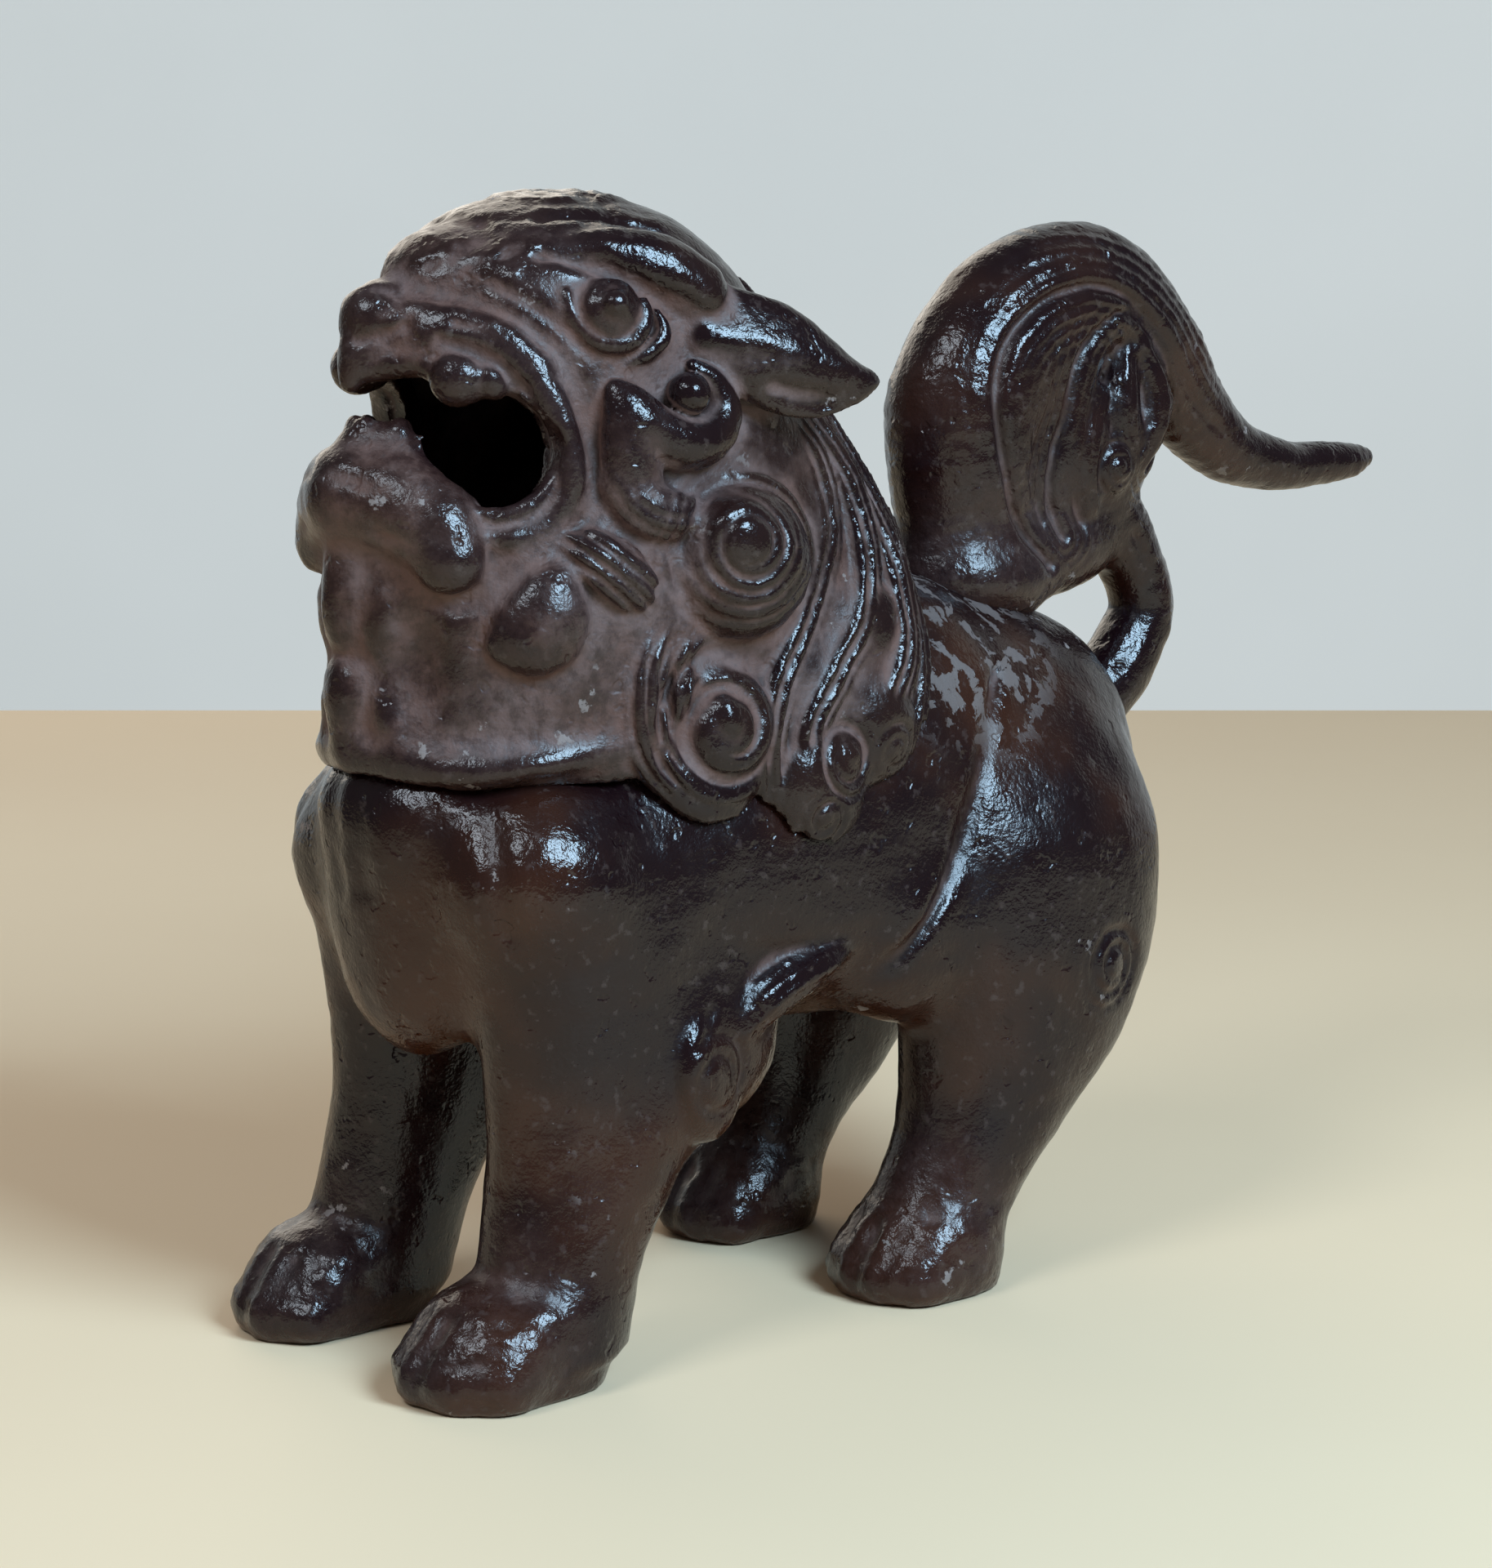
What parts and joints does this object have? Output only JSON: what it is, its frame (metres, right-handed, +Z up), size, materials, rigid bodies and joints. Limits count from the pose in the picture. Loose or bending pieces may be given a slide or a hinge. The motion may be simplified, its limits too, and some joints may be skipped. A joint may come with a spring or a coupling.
{
  "type": "incense burner",
  "caption": "Standing guardian-lion incense burner in cast iron: hollow body, lift-off head with open mouth as smoke vent, pinned tail and drop-in ash liner",
  "frame": {"origin": "centre of the outline on the table plane, under the lion", "axes": "+Z up, +Y from the face to the tail, +X to the lion's left"},
  "size_m": [0.0704, 0.2118, 0.1649],
  "materials": {
    "lacquered_iron": "dark brown lacquer over cast iron, satin, worn and dusty in the recesses",
    "pin_iron": "plain iron",
    "liner_brass": "smoked brass sheet"
  },
  "bodies": {
    "body": {"body_casting": "lacquered_iron", "tail_casting": "lacquered_iron", "tail_pin": "pin_iron"},
    "liner": {"ash_liner": "liner_brass"},
    "head": {"head_cover": "lacquered_iron"}
  },
  "joints": [
    {"name": "liner_lift", "type": "slide", "parent": "body", "child": "liner", "axis": [0, 0, 1], "range_m": [0, 0.075]},
    {"name": "head_lift", "type": "slide", "parent": "liner", "child": "head", "axis": [0, 0, 1], "range_m": [0, 0.07]}
  ]
}
